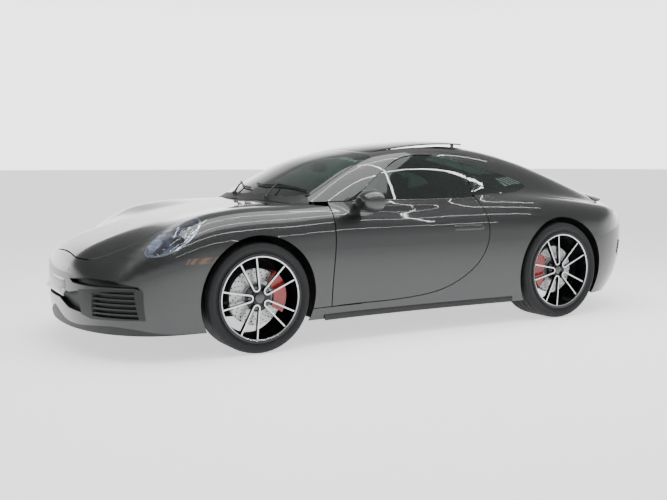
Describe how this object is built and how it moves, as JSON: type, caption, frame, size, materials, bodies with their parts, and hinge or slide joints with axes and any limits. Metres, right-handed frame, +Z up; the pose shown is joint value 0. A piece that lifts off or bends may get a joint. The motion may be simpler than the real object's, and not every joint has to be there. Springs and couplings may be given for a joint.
{
  "type": "coupe car",
  "caption": "Low two-door sports coupe with a fastback roof, wide rear haunches, upright oval lamps and paired-spoke wheels.",
  "frame": {"origin": "on the ground under the middle of the body's length and width", "axes": "+X forward, +Y to the car's left, +Z up"},
  "size_m": [4.5202, 2.0618, 1.3258],
  "materials": {
    "black_gloss": "gloss black",
    "black_plastic": "grained moulding",
    "body_paint": "dark grey metallic clear coat",
    "caliper_red": "red enamel",
    "chassis_metal": "black coated",
    "disc_iron": "drilled and ground",
    "engine_metal": "cast",
    "glass": "green tinted safety glass",
    "lamp_glass": "clear moulded cover",
    "leather": "black smooth hide",
    "rim_alloy": "turned faces over dark paint",
    "tail_red": "moulded red",
    "tyre_rubber": "moulded tread rubber"
  },
  "bodies": {
    "body": {"cowl": "black_plastic", "dashboard": "leather", "engine_block": "engine_metal", "exhaust": "engine_metal", "fender_left": "body_paint", "fender_right": "body_paint", "floor_pan": "chassis_metal", "front_arch_liners": "black_plastic", "front_bulkhead": "chassis_metal", "front_bumper": "body_paint", "front_grille": "black_plastic", "front_seats": "leather", "front_subframe": "chassis_metal", "front_tub": "black_plastic", "glass_seals": "black_plastic", "headlamps": "lamp_glass", "lamp_housings": "black_plastic", "quarter_glass": "glass", "rear_arch_liners": "black_plastic", "rear_bulkhead": "chassis_metal", "rear_bumper": "body_paint", "rear_calipers": "caliper_red", "rear_grilles": "black_plastic", "rear_screen": "glass", "rear_seat": "leather", "rear_suspension": "chassis_metal", "roof_panel": "body_paint", "side_frame_left": "body_paint", "side_frame_right": "body_paint", "side_markers": "black_plastic", "sunroof_panel": "black_gloss", "tail_lamp": "tail_red", "windscreen": "glass"},
    "door_left": {"door_left": "body_paint", "door_glass_left": "glass", "mirror_left": "body_paint"},
    "door_right": {"door_right": "body_paint", "door_glass_right": "glass", "mirror_right": "body_paint"},
    "front_lid": {"front_lid": "body_paint"},
    "rear_lid": {"rear_lid": "body_paint", "rear_lid_grille": "black_plastic"},
    "spoiler": {"spoiler": "body_paint"},
    "steering_wheel": {"steering_wheel": "leather"},
    "steering_knuckle_left": {"knuckle_left": "chassis_metal", "caliper_front_left": "caliper_red"},
    "wheel_front_left": {"tyre_front_left": "tyre_rubber", "rim_front_left": "rim_alloy", "disc_front_left": "disc_iron"},
    "wheel_rear_left": {"tyre_rear_left": "tyre_rubber", "rim_rear_left": "rim_alloy", "disc_rear_left": "disc_iron"},
    "steering_knuckle_right": {"knuckle_right": "chassis_metal", "caliper_front_right": "caliper_red"},
    "wheel_front_right": {"tyre_front_right": "tyre_rubber", "rim_front_right": "rim_alloy", "disc_front_right": "disc_iron"},
    "wheel_rear_right": {"tyre_rear_right": "tyre_rubber", "rim_rear_right": "rim_alloy", "disc_rear_right": "disc_iron"}
  },
  "joints": [
    {"name": "door_left_hinge", "type": "hinge", "parent": "body", "child": "door_left", "pos_m": [0.75151, 0.86303, 0.54], "axis": [0, 0, -1], "range_deg": [0, 62]},
    {"name": "door_right_hinge", "type": "hinge", "parent": "body", "child": "door_right", "pos_m": [0.75151, -0.86303, 0.54], "axis": [0, 0, 1], "range_deg": [0, 62]},
    {"name": "front_lid_hinge", "type": "hinge", "parent": "body", "child": "front_lid", "pos_m": [0.83647, 0, 0.87005], "axis": [0, -1, 0], "range_deg": [0, 50]},
    {"name": "rear_lid_hinge", "type": "hinge", "parent": "body", "child": "rear_lid", "pos_m": [-1.45015, 0, 1.03996], "axis": [0, 1, 0], "range_deg": [0, 45]},
    {"name": "spoiler_hinge", "type": "hinge", "parent": "rear_lid", "child": "spoiler", "pos_m": [-1.89346, 0, 0.95403], "axis": [0, 1, 0], "range_deg": [-10, 0]},
    {"name": "steering_left", "type": "hinge", "parent": "body", "child": "steering_knuckle_left", "pos_m": [1.2365, 0.698, 0.3398], "axis": [0, 0, 1], "range_deg": [-35, 35]},
    {"name": "steering_right", "type": "hinge", "parent": "body", "child": "steering_knuckle_right", "pos_m": [1.2365, -0.698, 0.3398], "axis": [0, 0, 1], "range_deg": [-35, 35]},
    {"name": "steering_wheel_turn", "type": "hinge", "parent": "body", "child": "steering_wheel", "pos_m": [0.34661, 0.38003, 0.75998], "axis": [-0.9272, 0, 0.3746], "range_deg": [-490, 490]},
    {"name": "wheel_front_left_spin", "type": "hinge", "parent": "steering_knuckle_left", "child": "wheel_front_left", "pos_m": [1.2365, 0.78, 0.3398], "axis": [0, 1, 0], "continuous": true},
    {"name": "wheel_rear_left_spin", "type": "hinge", "parent": "body", "child": "wheel_rear_left", "pos_m": [-1.2135, 0.767, 0.3582], "axis": [0, 1, 0], "continuous": true},
    {"name": "wheel_front_right_spin", "type": "hinge", "parent": "steering_knuckle_right", "child": "wheel_front_right", "pos_m": [1.2365, -0.78, 0.3398], "axis": [0, 1, 0], "continuous": true},
    {"name": "wheel_rear_right_spin", "type": "hinge", "parent": "body", "child": "wheel_rear_right", "pos_m": [-1.2135, -0.767, 0.3582], "axis": [0, 1, 0], "continuous": true}
  ],
  "couplings": [
    {"joint": "steering_right", "follows": "steering_left", "ratio": 1},
    {"joint": "steering_wheel_turn", "follows": "steering_left", "ratio": 14}
  ]
}
